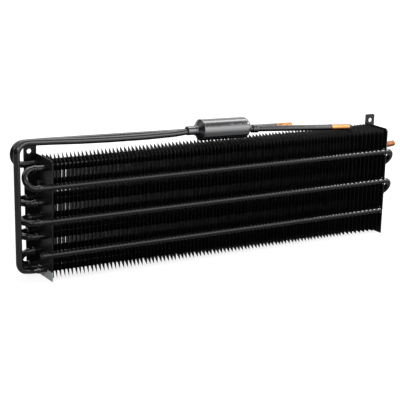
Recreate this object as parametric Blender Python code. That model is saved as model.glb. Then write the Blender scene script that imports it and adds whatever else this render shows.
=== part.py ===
"""Evaporator coil of a refrigerated cabinet: thin fins on four staggered rows of tube between two folded end
plates. Return bends join the tubes at the left, a suction line climbs the left side and runs over the top to
an accumulator, and a liquid line runs behind it. The coil's length lies along X, its front faces -Y, and its
end plates stand on Z = 0. Sizes are in metres.
"""

import math

import bmesh
import bpy
from mathutils import Matrix, Vector

# Tube
TUBE_OD = 0.00952
TUBE_WALL = 0.0008
TUBE_SIDES = 10
ARC_STEP = math.radians(30)
CLEARANCE = 0.0003

# Tube layout: rows count from the front, and each second row stands half a step higher
ROW_STEP = 0.016
TUBE_STEP = 0.050
FRONT_INSET = 0.005
END_MARGIN = 0.014
ROW_COUNT = 4
TALL_ROW_TUBES = 4

# Fins
FIN_PITCH = 0.0064
FIN_COUNT = 93
FIN_THICKNESS = 0.0004
FIN_EDGE = 0.0045
FIN_SIDE_GAP_TOP = 0.003
FIN_SIDE_GAP_BOTTOM = 0.005
FIN_LEAN = math.radians(18)
FIN_LEAN_FADE = 0.030
NOTCH_TAPER = 0.0005
CARRIER_SIDES = 4

# End plates
PLATE_THICKNESS = 0.0015
PLATE_CORNER = 0.006
FLANGE_WIDTH_TOP = 0.018
FLANGE_WIDTH_BOTTOM = 0.013
TAB_RISE = 0.0135
TAB_CORNER = 0.003
TAB_HOLE_OD = 0.007
TAB_HOLE_INBOARD = 0.0095
TAB_HOLE_BELOW_TOP = 0.0101
FOLD_RADIUS = 0.0004

# Ends of the tubes
LEG_INSIDE = 0.002
HAIRPIN_STANDOFF = 0.0024
BELL_OD = 0.0114
BELL_LENGTH = 0.0035
BELL_SHOULDER = 0.0015
BEND_STANDOFF_TOP = 0.021
BEND_STANDOFF_SECOND = 0.019
BEND_STANDOFF_THIRD = 0.021
BEND_STANDOFF_FOURTH = 0.017
BEND_STANDOFF_LOW = 0.015
FRONT_STUB = 0.014
SPARE_STUB_RIGHT = 0.0454
SPARE_STUB_STRAIGHT = 0.006
SPARE_STUB_RISE = math.radians(4)
SPARE_STUB_LEFT = 0.006
SPARE_STUB_BORE_DEPTH = 0.012

# Suction line
SUCTION_JOINT = 0.015
SUCTION_SWAY_START = 0.021
SUCTION_FOOT_RISE = 0.0055
RISER_FOOT = (-0.0451, 0.0125)
RISER_HEAD = (-0.04915, 0.0125)
RISER_TOP = 0.2058
SUCTION_FOOT_RADIUS = 0.015
SUCTION_HEAD_RADIUS = 0.017
SWAY_RADIUS = 0.020
TOP_RUN_FIRST = (0.0200, 0.0156, 0.2027)
TOP_RUN_SECOND = (0.0850, 0.0184, 0.1990)
TOP_RUN_THIRD = (0.1500, 0.0210, 0.1975)
TOP_RUN_RADIUS = 0.250

# Accumulator
ACCUMULATOR_OD = 0.032
ACCUMULATOR_Z = 0.1975
ACCUMULATOR_START = 0.231
INLET_SLEEVE_OD = 0.0128
INLET_SLEEVE_LENGTH = 0.016
CONE_LENGTH = 0.015
BODY_LENGTH = 0.077
SHOULDER_RADIUS = 0.008
SOCKET_DEPTH = 0.010
ACCUMULATOR_SIDES = 16

# Outlet tube
OUTLET_DROP = 0.0026
OUTLET_SLOPE = math.radians(3.6)
OUTLET_LENGTH = 0.156
OUTLET_COLLAR_OD = 0.0128
OUTLET_COLLAR_LENGTH = 0.015
COPPER_END_LENGTH = 0.035
COPPER_END_SEAT = 0.008
PLUG_LENGTH = 0.005
PLUG_SEAT = 0.006

# Liquid line
LIQUID_TURN_X = -0.022
LIQUID_TURN_RADIUS = 0.015
LIQUID_RUN_FIRST = (0.1000, 0.1915)
LIQUID_RUN_SECOND = (0.2400, 0.1905)
LIQUID_RUN_END = (0.4160, 0.1870)
LIQUID_RUN_RADIUS = 0.600
LIQUID_TIP_LENGTH = 0.030

TUBE_RADIUS = TUBE_OD / 2
BELL_RADIUS = BELL_OD / 2
HOLE_RADIUS = TUBE_RADIUS + CLEARANCE
LEFT_OUTER = 0.0
LEFT_INNER = PLATE_THICKNESS
RIGHT_INNER = LEFT_INNER + (FIN_COUNT + 1) * FIN_PITCH
RIGHT_OUTER = RIGHT_INNER + PLATE_THICKNESS
REAR_INSET = BELL_RADIUS + CLEARANCE + PLATE_THICKNESS
COIL_DEPTH = FRONT_INSET + (ROW_COUNT - 1) * ROW_STEP + REAR_INSET
PLATE_HEIGHT = 2 * END_MARGIN + (TALL_ROW_TUBES - 1) * TUBE_STEP
TAB_TOP = PLATE_HEIGHT + TAB_RISE


def place(row, level):
    """(y, z) of a tube. Level 0 is the lowest: rows 1 and 3 have three levels, rows 2 and 4 have four."""
    lift = TUBE_STEP / 2 if row % 2 else 0.0
    return FRONT_INSET + (row - 1) * ROW_STEP, END_MARGIN + lift + level * TUBE_STEP


def tube_places():
    """The (y, z) of every tube, in order of rows."""
    return [place(row, level) for row in range(1, ROW_COUNT + 1) for level in range(TALL_ROW_TUBES - row % 2)]


def point(x, where):
    return Vector((x, where[0], where[1]))


def material(name, colour, roughness, metallic):
    """A Principled BSDF with one colour."""
    made = bpy.data.materials.new(name)
    made.use_nodes = True
    shader = made.node_tree.nodes["Principled BSDF"]
    shader.inputs["Base Color"].default_value = (*colour, 1.0)
    shader.inputs["Roughness"].default_value = roughness
    shader.inputs["Metallic"].default_value = metallic
    made.diffuse_color = (*colour, 1.0)
    return made


def add_object(name, shape, finish, parent):
    """Puts a bmesh into a named object, shaded smooth across its shallow edges."""
    bmesh.ops.recalc_face_normals(shape, faces=shape.faces)
    mesh = bpy.data.meshes.new(name)
    shape.to_mesh(mesh)
    shape.free()
    mesh.shade_smooth()
    mesh.set_sharp_from_angle(angle=math.radians(40))
    made = bpy.data.objects.new(name, mesh)
    bpy.context.scene.collection.objects.link(made)
    made.parent = parent
    made.data.materials.append(finish)
    return made


def add_cutter(name, shape, parent):
    """A helper for a Boolean, left out of renders."""
    made = add_object(name, shape, bpy.data.materials["black_paint"], parent)
    made.hide_render = True
    made.display_type = "WIRE"
    return made


def apply_boolean(target, cutter, operation):
    modifier = target.modifiers.new(cutter.name, "BOOLEAN")
    modifier.object = cutter
    modifier.operation = operation
    modifier.solver = "EXACT"


def route(*corners):
    """The centre line through (point, radius) corners, as places and headings: straight runs joined by arcs."""
    places = [corner for corner, radius in corners]
    line = [(places[0], (places[1] - places[0]).normalized())]
    for index in range(1, len(places) - 1):
        here = places[index]
        radius = corners[index][1]
        back = (places[index - 1] - here).normalized()
        ahead = (places[index + 1] - here).normalized()
        turn = math.pi - back.angle(ahead)
        axis = (-back).cross(ahead).normalized()
        start = here + back * radius * math.tan(turn / 2)
        centre = here + (back + ahead).normalized() * radius / math.cos(turn / 2)
        steps = math.ceil(turn / ARC_STEP)
        for step in range(steps + 1):
            spin = Matrix.Rotation(turn * step / steps, 3, axis)
            spot = centre + spin @ (start - centre)
            if (spot - line[-1][0]).length > TUBE_WALL:
                line.append((spot, spin @ -back))
    line.append((places[-1], (places[-1] - places[-2]).normalized()))
    return line


def stations(line, radius=TUBE_OD / 2):
    """Rings of one radius along a centre line."""
    return [(spot, heading, radius) for spot, heading in line]


def sweep(name, rings, finish, parent, sides=TUBE_SIDES):
    """A closed skin over rings of (centre, heading, radius), with a flat face on the first and the last."""
    shape = bmesh.new()
    heading = rings[0][1]
    across = heading.orthogonal().normalized()
    loops = []
    for centre, heading, radius in rings:
        across = (across - heading * across.dot(heading)).normalized()
        up = heading.cross(across)
        angles = [2 * math.pi * side / sides for side in range(sides)]
        loops.append([shape.verts.new(centre + (across * math.cos(a) + up * math.sin(a)) * radius) for a in angles])
    for first, second in zip(loops, loops[1:]):
        for side in range(sides):
            after = (side + 1) % sides
            shape.faces.new((first[side], first[after], second[after], second[side]))
    shape.faces.new(reversed(loops[0]))
    shape.faces.new(loops[-1])
    return add_object(name, shape, finish, parent)


def bell(mouth, heading, is_open):
    """Rings of a belled end from its mouth on: a socket with a bore if open, else brazed round the tube."""
    inner_radius = HOLE_RADIUS if is_open else TUBE_RADIUS
    floor = mouth + heading * (BELL_LENGTH - TUBE_WALL)
    rings = [(floor, heading, inner_radius)] if is_open else []
    rings.append((mouth, heading, inner_radius))
    rings.append((mouth, heading, BELL_RADIUS))
    rings.append((mouth + heading * BELL_LENGTH, heading, BELL_RADIUS))
    rings.append((mouth + heading * (BELL_LENGTH + BELL_SHOULDER), heading, TUBE_RADIUS))
    return rings


def hairpin(name, first, second, reach_first, finish, parent):
    """A U tube at the right end: its first leg starts at reach_first, its second ends just inside the plate."""
    turn_x = RIGHT_OUTER + HAIRPIN_STANDOFF
    radius = (point(0, second) - point(0, first)).length / 2
    line = route(
        (point(reach_first, first), 0),
        (point(turn_x + radius, first), radius),
        (point(turn_x + radius, second), radius),
        (point(RIGHT_INNER - LEG_INSIDE, second), 0),
    )
    return sweep(name, stations(line), finish, parent)


def return_bend(name, first, second, standoff, open_first, finish, parent):
    """A U piece at the left end with a bell on both legs. An open first bell takes a tube that passes the plate;
    a brazed one carries its tube's end through the plate."""
    out = Vector((-1, 0, 0))
    radius = (point(0, second) - point(0, first)).length / 2
    mouth_x = -(standoff - BELL_LENGTH - BELL_SHOULDER)
    turn = route(
        (point(mouth_x, first), 0),
        (point(-standoff - radius, first), radius),
        (point(-standoff - radius, second), radius),
        (point(mouth_x, second), 0),
    )
    head = bell(point(mouth_x, first), out, open_first)
    if not open_first:
        head.insert(0, (point(LEFT_INNER + LEG_INSIDE, first), out, TUBE_RADIUS))
    tail = [(spot, -heading, radius) for spot, heading, radius in reversed(bell(point(mouth_x, second), out, False))]
    tail.append((point(LEFT_INNER + LEG_INSIDE, second), -out, TUBE_RADIUS))
    arc = stations(turn[2:-2])
    return sweep(name, head + arc + tail, finish, parent)


def prism(shape, outline, axis, start, end):
    """Adds a straight prism: the outline's pairs fill the two other axes in X, Y, Z order."""
    others = [other for other in range(3) if other != axis]

    def corner(pair, along):
        spot = [0.0, 0.0, 0.0]
        spot[axis] = along
        spot[others[0]], spot[others[1]] = pair
        return shape.verts.new(spot)

    low = [corner(pair, start) for pair in outline]
    high = [corner(pair, end) for pair in outline]
    count = len(outline)
    shape.faces.new(low)
    shape.faces.new(high)
    for index in range(count):
        after = (index + 1) % count
        shape.faces.new((low[index], low[after], high[after], high[index]))


def arc_points(centre, radius, start, end, steps):
    """Points on an arc, from one angle to another in degrees."""
    angles = [math.radians(start + (end - start) * step / steps) for step in range(steps + 1)]
    return [(centre[0] + radius * math.cos(angle), centre[1] + radius * math.sin(angle)) for angle in angles]


def round_outline(centre, radius, sides):
    """A regular outline drawn round a circle, so that its flats touch it."""
    corner_radius = radius / math.cos(math.pi / sides)
    turn = 180 / sides
    return arc_points(centre, corner_radius, turn, turn + 360 - 360 / sides, sides - 1)


def plate_sheet():
    """The left plate's folded sheet before it is cut: an L in plan, as tall as the tab."""
    outer_radius = FOLD_RADIUS + PLATE_THICKNESS
    fold = (-FOLD_RADIUS, COIL_DEPTH - outer_radius)
    outline = [(LEFT_INNER, 0.0)]
    outline += arc_points(fold, outer_radius, 0, 90, 3)
    outline += [(-FLANGE_WIDTH_TOP, COIL_DEPTH), (-FLANGE_WIDTH_TOP, COIL_DEPTH - PLATE_THICKNESS)]
    outline += arc_points(fold, FOLD_RADIUS, 90, 0, 2)
    outline += [(LEFT_OUTER, 0.0)]
    shape = bmesh.new()
    prism(shape, outline, 2, 0.0, TAB_TOP)
    return shape


def plate_waste(shape):
    """What is cut off the folded sheet: above the web, round its corners, and along the flange."""
    past = 2 * PLATE_THICKNESS
    web_end = COIL_DEPTH - PLATE_THICKNESS - FOLD_RADIUS - CLEARANCE
    corner = (PLATE_CORNER, PLATE_HEIGHT - PLATE_CORNER)
    web = [(-past, TAB_TOP + past), (-past, corner[1])]
    web += arc_points(corner, PLATE_CORNER, 180, 90, 4)
    web += [(web_end, PLATE_HEIGHT), (web_end, TAB_TOP + past)]
    prism(shape, web, 0, -past, past)
    tab_corner = (-FLANGE_WIDTH_TOP + TAB_CORNER, TAB_TOP - TAB_CORNER)
    far = -FLANGE_WIDTH_TOP - past
    taper_start = PLATE_HEIGHT - TAB_CORNER
    flange = [(far, -past), (-FLANGE_WIDTH_BOTTOM, -past), (-FLANGE_WIDTH_BOTTOM, 0.0)]
    flange += [(-FLANGE_WIDTH_TOP, taper_start), (-FLANGE_WIDTH_TOP, tab_corner[1])]
    flange += arc_points(tab_corner, TAB_CORNER, 180, 90, 3)[1:]
    flange += [(tab_corner[0], TAB_TOP + past), (far, TAB_TOP + past)]
    prism(shape, flange, 1, COIL_DEPTH - past, COIL_DEPTH + past)


def plate_holes(shape):
    """The tube holes and the hole in the mounting tab."""
    past = 2 * PLATE_THICKNESS
    for where in tube_places():
        prism(shape, round_outline(where, HOLE_RADIUS, TUBE_SIDES), 0, -past, past)
    hole = (-TAB_HOLE_INBOARD, TAB_TOP - TAB_HOLE_BELOW_TOP)
    prism(shape, round_outline(hole, TAB_HOLE_OD / 2, TUBE_SIDES), 1, COIL_DEPTH - past, COIL_DEPTH + past)


def end_plate(name, mirrored, finish, parent):
    """A folded end plate with its rear flange turned outwards. The right one is the left one's mirror image."""
    sheet = plate_sheet()
    waste = bmesh.new()
    plate_waste(waste)
    holes = bmesh.new()
    plate_holes(holes)
    for shape in (sheet, waste, holes):
        if mirrored:
            bmesh.ops.scale(shape, vec=(-1, 1, 1), verts=shape.verts)
            bmesh.ops.translate(shape, vec=(RIGHT_OUTER, 0, 0), verts=shape.verts)
    plate = add_object(name, sheet, finish, parent)
    apply_boolean(plate, add_cutter(name + "_waste", waste, parent), "DIFFERENCE")
    apply_boolean(plate, add_cutter(name + "_holes", holes, parent), "DIFFERENCE")
    return plate


def fin_outline():
    """One fin in (y, z): a plain sheet with an open notch round each front tube."""
    front = FRONT_INSET - FIN_EDGE
    rear = FRONT_INSET + (ROW_COUNT - 1) * ROW_STEP + FIN_EDGE
    bottom = FIN_SIDE_GAP_BOTTOM
    top = PLATE_HEIGHT - FIN_SIDE_GAP_TOP
    notch_floor = FRONT_INSET + HOLE_RADIUS
    outline = [(front, bottom)]
    for level in range(TALL_ROW_TUBES - 1):
        height = place(1, level)[1]
        for side in (-1, 1):
            edge = (front, height + side * (HOLE_RADIUS + NOTCH_TAPER))
            floor = (notch_floor, height + side * HOLE_RADIUS)
            outline += [edge, floor] if side < 0 else [floor, edge]
    outline += [(front, top), (rear, top), (rear, bottom)]
    return outline


def fin_pack(finish, parent):
    """All fins, fused to the two second-row tubes that carry them."""
    first = LEFT_INNER + FIN_PITCH - FIN_THICKNESS / 2
    shape = bmesh.new()
    prism(shape, fin_outline(), 0, first, first + FIN_THICKNESS)
    pack = add_object("fin_pack", shape, finish, parent)
    array = pack.modifiers.new("fins", "ARRAY")
    array.count = FIN_COUNT
    array.use_relative_offset = False
    array.use_constant_offset = True
    array.constant_offset_displace = (FIN_PITCH, 0, 0)
    array.use_merge_vertices = False
    carriers = bmesh.new()
    for level in (1, 2):
        outline = arc_points(place(2, level), TUBE_RADIUS, 0, 360 - 360 / CARRIER_SIDES, CARRIER_SIDES - 1)
        gap = LEG_INSIDE + CLEARANCE
        prism(carriers, outline, 0, LEFT_INNER + gap, RIGHT_INNER - gap)
    apply_boolean(pack, add_cutter("carrier_tubes", carriers, parent), "UNION")
    lean_fins(pack)
    return pack


def lean_fins(pack):
    """Turns the fins in plan, rear edges to the right, by a slant that fades out toward both end plates."""
    graph = bpy.context.evaluated_depsgraph_get()
    mesh = bpy.data.meshes.new_from_object(pack.evaluated_get(graph))
    middle = FRONT_INSET + (ROW_COUNT - 1) * ROW_STEP / 2
    for vertex in mesh.vertices:
        beside_plate = min(vertex.co.x - LEFT_INNER, RIGHT_INNER - vertex.co.x)
        slant = math.tan(FIN_LEAN) * min(1.0, beside_plate / FIN_LEAN_FADE)
        vertex.co.x += slant * (vertex.co.y - middle)
    pack.modifiers.clear()
    pack.data = mesh


def suction_line(finish, parent):
    """From the lowest second-row tube up the left side, then over the top into the accumulator's inlet sleeve."""
    out = Vector((-1, 0, 0))
    start = place(2, 0)
    mouth = point(-(SUCTION_JOINT - BELL_LENGTH - BELL_SHOULDER), start)
    end = Vector((ACCUMULATOR_START + SOCKET_DEPTH - CLEARANCE, TOP_RUN_THIRD[1], ACCUMULATOR_Z))
    line = route(
        (point(-SUCTION_JOINT, start), 0),
        (point(-SUCTION_SWAY_START, start), SWAY_RADIUS),
        (Vector((*RISER_FOOT, start[1] + SUCTION_FOOT_RISE)), SUCTION_FOOT_RADIUS),
        (Vector((*RISER_HEAD, RISER_TOP)), SUCTION_HEAD_RADIUS),
        (Vector(TOP_RUN_FIRST), TOP_RUN_RADIUS),
        (Vector(TOP_RUN_SECOND), TOP_RUN_RADIUS),
        (Vector(TOP_RUN_THIRD), TOP_RUN_RADIUS),
        (end, 0),
    )
    head = [(point(LEFT_INNER + LEG_INSIDE, start), out, TUBE_RADIUS)] + bell(mouth, out, False)
    return sweep("suction_line", head + stations(line[1:]), finish, parent)


def outlet_heading():
    return Vector((math.cos(OUTLET_SLOPE), 0, -math.sin(OUTLET_SLOPE)))


def outlet_root():
    """Where the outlet tube's centre line meets the accumulator's right end."""
    x = ACCUMULATOR_START + INLET_SLEEVE_LENGTH + CONE_LENGTH + BODY_LENGTH + SHOULDER_RADIUS
    return Vector((x, TOP_RUN_THIRD[1], ACCUMULATOR_Z - OUTLET_DROP))


def accumulator(finish, parent):
    """A turned cylinder: inlet sleeve with its bore, cone, body and round shoulder, bored for the outlet tube."""
    along = Vector((1, 0, 0))
    radius = ACCUMULATOR_OD / 2
    sleeve_radius = INLET_SLEEVE_OD / 2
    cone_start = ACCUMULATOR_START + INLET_SLEEVE_LENGTH
    body_start = cone_start + CONE_LENGTH
    body_end = body_start + BODY_LENGTH
    profile = [(ACCUMULATOR_START + SOCKET_DEPTH, HOLE_RADIUS), (ACCUMULATOR_START, HOLE_RADIUS)]
    profile += [(ACCUMULATOR_START, sleeve_radius), (cone_start, sleeve_radius), (body_start, radius)]
    profile += arc_points((body_end, radius - SHOULDER_RADIUS), SHOULDER_RADIUS, 90, 0, 4)
    axis_y = TOP_RUN_THIRD[1]
    rings = [(Vector((x, axis_y, ACCUMULATOR_Z)), along, ring_radius) for x, ring_radius in profile]
    body = sweep("accumulator", rings, finish, parent, ACCUMULATOR_SIDES)
    root, heading = outlet_root(), outlet_heading()
    bore = [(root + heading * reach, heading, HOLE_RADIUS) for reach in (-SOCKET_DEPTH, SOCKET_DEPTH)]
    cutter = sweep("outlet_bore", bore, finish, parent)
    cutter.hide_render = True
    cutter.display_type = "WIRE"
    apply_boolean(body, cutter, "DIFFERENCE")
    return body


def hollow_end(tip, heading, depth):
    """The last rings of a tube with an open end: its outside to the tip, then back in along its bore."""
    bore_radius = TUBE_RADIUS - TUBE_WALL
    return [(tip, heading, TUBE_RADIUS), (tip, heading, bore_radius), (tip - heading * depth, heading, bore_radius)]


def outlet_pieces(paint, copper, rubber, parent):
    """The drooping outlet tube with its brazed collar, its bare copper end and the plug in it."""
    root, heading = outlet_root(), outlet_heading()
    start = root - heading * (SOCKET_DEPTH - CLEARANCE)
    collar_radius = OUTLET_COLLAR_OD / 2
    collar_start = root + heading * (CLEARANCE + collar_radius * math.tan(OUTLET_SLOPE))
    collar_end = collar_start + heading * OUTLET_COLLAR_LENGTH
    tip = root + heading * OUTLET_LENGTH
    rings = [(start, heading, TUBE_RADIUS), (collar_start, heading, TUBE_RADIUS)]
    rings += [(collar_start, heading, collar_radius), (collar_end, heading, collar_radius)]
    rings += [(collar_end, heading, TUBE_RADIUS)] + hollow_end(tip, heading, COPPER_END_SEAT)
    sweep("outlet_tube", rings, paint, parent)
    copper_end("outlet_copper_end", tip, heading, COPPER_END_LENGTH, COPPER_END_SEAT, copper, parent)
    mouth = tip + heading * (CLEARANCE + COPPER_END_LENGTH)
    neck_radius = TUBE_RADIUS - TUBE_WALL - CLEARANCE
    rings = [(mouth - heading * PLUG_SEAT, heading, neck_radius), (mouth + heading * CLEARANCE, heading, neck_radius)]
    rings += [(mouth + heading * reach, heading, TUBE_RADIUS) for reach in (CLEARANCE, PLUG_LENGTH)]
    sweep("outlet_plug", rings, rubber, parent)


def copper_end(name, tip, heading, length, seat, finish, parent):
    """A bare copper tube end: a reduced spigot seated in a painted tube's mouth, a shoulder and an open end."""
    spigot_radius = TUBE_RADIUS - TUBE_WALL - CLEARANCE
    shoulder = tip + heading * CLEARANCE
    rings = [(tip - heading * (seat - CLEARANCE), heading, spigot_radius), (shoulder, heading, spigot_radius)]
    rings += [(shoulder, heading, TUBE_RADIUS)]
    rings += hollow_end(shoulder + heading * length, heading, length / 3)
    return sweep(name, rings, finish, parent)


def liquid_pieces(paint, copper, parent):
    """The liquid line from the rear top tube, turned up and back over the coil, and its bare copper tip."""
    start = place(4, 3)
    turn_x = LIQUID_TURN_X - LIQUID_TURN_RADIUS
    top = start[1] + 2 * LIQUID_TURN_RADIUS
    first = Vector((LIQUID_RUN_FIRST[0], start[0], LIQUID_RUN_FIRST[1]))
    second = Vector((LIQUID_RUN_SECOND[0], start[0], LIQUID_RUN_SECOND[1]))
    end = Vector((LIQUID_RUN_END[0], start[0], LIQUID_RUN_END[1]))
    line = route(
        (point(LEFT_INNER + LEG_INSIDE, start), 0),
        (point(turn_x, start), LIQUID_TURN_RADIUS),
        (Vector((turn_x, start[0], top)), LIQUID_TURN_RADIUS),
        (first, LIQUID_RUN_RADIUS),
        (second, LIQUID_RUN_RADIUS),
        (end, 0),
    )
    heading = line[-1][1]
    sweep("liquid_line", stations(line[:-1]) + hollow_end(end, heading, COPPER_END_SEAT), paint, parent)
    copper_end("liquid_copper_end", end, heading, LIQUID_TIP_LENGTH, COPPER_END_SEAT, copper, parent)


def straight_tubes(paint, copper, parent):
    """The lowest front tube from its stub to the right plate, and the spare third-row tube's two ends."""
    along = Vector((1, 0, 0))
    low = place(1, 0)
    rings = [(point(-FRONT_STUB, low), along, TUBE_RADIUS), (point(RIGHT_OUTER, low), along, TUBE_RADIUS)]
    sweep("front_tube_low", rings, paint, parent)
    spare = place(3, 2)
    rings = [(point(-SPARE_STUB_LEFT, spare), along, TUBE_RADIUS)]
    rings.append((point(LEFT_INNER + LEG_INSIDE, spare), along, TUBE_RADIUS))
    sweep("spare_tube_left_end", rings, paint, parent)
    rising = Vector((math.cos(SPARE_STUB_RISE), 0, math.sin(SPARE_STUB_RISE)))
    bend = point(RIGHT_OUTER + SPARE_STUB_STRAIGHT, spare)
    reach = SPARE_STUB_RIGHT - SPARE_STUB_STRAIGHT - TUBE_RADIUS * math.sin(SPARE_STUB_RISE)
    tip = bend + rising * reach / math.cos(SPARE_STUB_RISE)
    rings = [(point(RIGHT_INNER - LEG_INSIDE, spare), along, TUBE_RADIUS)]
    rings.append((bend, (along + rising).normalized(), TUBE_RADIUS))
    rings += hollow_end(tip, rising, SPARE_STUB_BORE_DEPTH)
    sweep("spare_tube_copper_end", rings, copper, parent)


def tube_circuit(paint, parent):
    """Hairpins at the right and return bends at the left, which join the tubes into one path."""
    top_front, middle_front = place(1, 2), place(1, 1)
    front_reach = -(BEND_STANDOFF_TOP - BELL_SHOULDER - TUBE_WALL - CLEARANCE)
    right_reach = RIGHT_INNER - LEG_INSIDE
    hairpin("hairpin_front_top", top_front, place(2, 2), front_reach, paint, parent)
    hairpin("hairpin_front_middle", middle_front, place(2, 1), front_reach, paint, parent)
    hairpin("hairpin_rear_top", place(4, 3), place(2, 3), right_reach, paint, parent)
    hairpin("hairpin_rear_second", place(4, 2), place(3, 1), right_reach, paint, parent)
    hairpin("hairpin_rear_third", place(4, 1), place(3, 0), right_reach, paint, parent)
    hairpin("hairpin_rear_low", place(4, 0), place(2, 0), right_reach, paint, parent)
    return_bend("return_bend_top", top_front, place(2, 3), BEND_STANDOFF_TOP, True, paint, parent)
    return_bend("return_bend_second", place(2, 2), place(4, 2), BEND_STANDOFF_SECOND, False, paint, parent)
    return_bend("return_bend_third", middle_front, place(3, 1), BEND_STANDOFF_THIRD, True, paint, parent)
    return_bend("return_bend_fourth", place(2, 1), place(4, 1), BEND_STANDOFF_FOURTH, False, paint, parent)
    return_bend("return_bend_low", place(3, 0), place(4, 0), BEND_STANDOFF_LOW, False, paint, parent)


def stand_on_origin(root):
    """Moves the whole coil so that the origin is at the middle of the bottom of its box."""
    bpy.context.view_layer.update()
    shown = [made for made in root.children if not made.hide_render]
    graph = bpy.context.evaluated_depsgraph_get()
    corners = [Vector(corner) for made in shown for corner in made.evaluated_get(graph).bound_box]
    middle = [(min(c[axis] for c in corners) + max(c[axis] for c in corners)) / 2 for axis in (0, 1)]
    root.location = (-middle[0], -middle[1], -min(c[2] for c in corners))


def main():
    for old in list(bpy.data.objects):
        bpy.data.objects.remove(old, do_unlink=True)
    root = bpy.data.objects.new("evaporator_coil", None)
    bpy.context.scene.collection.objects.link(root)
    paint = material("black_paint", (0.012, 0.012, 0.013), 0.35, 0.0)
    fin_paint = material("fin_paint", (0.010, 0.010, 0.011), 0.45, 0.0)
    vessel_paint = material("vessel_paint", (0.020, 0.021, 0.024), 0.32, 0.0)
    copper = material("bare_copper", (0.72, 0.36, 0.18), 0.35, 1.0)
    rubber = material("plug_rubber", (0.02, 0.02, 0.02), 0.6, 0.0)
    fin_pack(fin_paint, root)
    end_plate("left_end_plate", False, paint, root)
    end_plate("right_end_plate", True, paint, root)
    tube_circuit(paint, root)
    straight_tubes(paint, copper, root)
    suction_line(paint, root)
    accumulator(vessel_paint, root)
    outlet_pieces(paint, copper, rubber, root)
    liquid_pieces(paint, copper, root)
    stand_on_origin(root)


main()
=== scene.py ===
"""Looks of a black painted evaporator coil: fins, tubes, bends, lines and copper ends around its frame.

The coil's length lies along X, its front faces -Y and its end plates stand on Z = 0. Sizes are in metres.
"""

import math

import bmesh
import bpy
import numpy as np
from mathutils import Matrix, Vector

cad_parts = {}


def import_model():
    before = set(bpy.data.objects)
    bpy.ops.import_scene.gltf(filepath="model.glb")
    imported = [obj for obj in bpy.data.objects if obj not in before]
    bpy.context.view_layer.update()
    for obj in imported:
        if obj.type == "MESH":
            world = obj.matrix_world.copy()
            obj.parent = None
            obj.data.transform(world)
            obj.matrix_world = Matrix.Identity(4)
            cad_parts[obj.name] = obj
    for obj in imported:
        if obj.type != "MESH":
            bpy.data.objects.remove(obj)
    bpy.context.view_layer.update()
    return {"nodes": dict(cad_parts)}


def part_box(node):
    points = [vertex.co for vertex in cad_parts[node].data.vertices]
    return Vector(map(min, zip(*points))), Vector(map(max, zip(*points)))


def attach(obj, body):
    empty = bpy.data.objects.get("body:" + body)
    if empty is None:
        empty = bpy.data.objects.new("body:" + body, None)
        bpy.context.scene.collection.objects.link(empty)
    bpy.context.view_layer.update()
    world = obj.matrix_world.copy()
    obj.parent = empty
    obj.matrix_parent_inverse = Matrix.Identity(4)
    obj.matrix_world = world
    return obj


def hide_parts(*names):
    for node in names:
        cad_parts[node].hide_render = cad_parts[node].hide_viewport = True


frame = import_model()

# Places read from the frame
LEFT_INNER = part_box("left_end_plate")[1].x
RIGHT_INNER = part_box("right_end_plate")[0].x
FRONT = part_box("left_end_plate")[0].y
PLATE_THICKNESS = 0.0015
LEFT_OUTER = LEFT_INNER - PLATE_THICKNESS
RIGHT_OUTER = RIGHT_INNER + PLATE_THICKNESS

# Tube and its layout: rows count from the front, and each second row stands half a step higher
TUBE_RADIUS = 0.00476
TUBE_WALL = 0.0008
CLEARANCE = 0.0003
ROW_STEP = 0.016
TUBE_STEP = 0.050
FRONT_INSET = 0.005
END_MARGIN = 0.014
ROW_COUNT = 4
TALL_ROW_TUBES = 4

# Fins: the lean is the tangent of their angle in plan, the sway is how far each bows from flat, and squeezed
# is the least share of its distance from the left plate that a fin's front edge keeps
FIN_PITCH = 0.0064
FIN_COUNT = 93
FIN_THICKNESS = 0.00030
FIN_EDGE = 0.0045
FIN_BOTTOM = 0.005
FIN_TOP = 0.1765
FIN_LEAN = 0.367
FIN_SWAY = 0.00016
REAR_SHIFT = 0.0018
SQUEEZED = 0.08
LEAN_FADE_RIGHT = 0.060
NOTCH_TAPER = 0.0005

# Collars of the fins round the tubes: the middle rows' are rings and the others' are hooks, whose lips are
# given as (back from the fin's edge, in from the collar's radius)
ROUND_COLLAR_ROWS = (2, 3)
COLLAR_GAP = 0.00006
COLLAR_THICKNESS = 0.00025
COLLAR_LENGTH = 0.0032
COLLAR_SLIP = 0.00008
HOOK_ANGLE = math.radians(150)
HOOK_LIP = ((0.0, 0.0014), (0.0002, 0.0020))

# Joints of the bends
BELL_RADIUS = 0.0057
BELL_LENGTH = 0.0035
BELL_SHOULDER = 0.0015
BRAZE_LENGTH = 0.0011
HAIRPIN_STANDOFF = 0.0024
BEND_STANDOFFS = {"top": 0.021, "second": 0.019, "third": 0.021, "fourth": 0.017, "low": 0.015}
LEG_IN_BELL = 0.0027
LEG_INSIDE_PLATE = 0.0024

# Straight ends: the copper ones stand a hair's breadth off the painted tubes
EASED = 0.0002
SEAM = 0.0001
BORE_DEPTH = 0.012
FRONT_STUB = 0.014
SPARE_PAINTED = 0.004
SPARE_BEND = 0.006
SPARE_RISE = math.radians(6)

# Suction line, accumulator and outlet
SUCTION_JOINT = 0.010
RISER_Y = 0.0125
VESSEL_Y = 0.0210
VESSEL_START = (0.231, 0.1997)
VESSEL_DROOP = math.radians(1.3)
SLEEVE_RADIUS = 0.0069
VESSEL_RADIUS = 0.0162
OUTLET_ROOT = (0.347, 0.1942)
OUTLET_SLOPE = math.radians(3.6)
OUTLET_LENGTH = 0.156
OUTLET_COLLAR_RADIUS = 0.0064
COPPER_LENGTH = 0.035

# Liquid line
LIQUID_TURN_X = -0.037
LIQUID_TURN_RADIUS = 0.016
LIQUID_TIP_LENGTH = 0.030
LIQUID_BORE_DEPTH = 0.010

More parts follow.
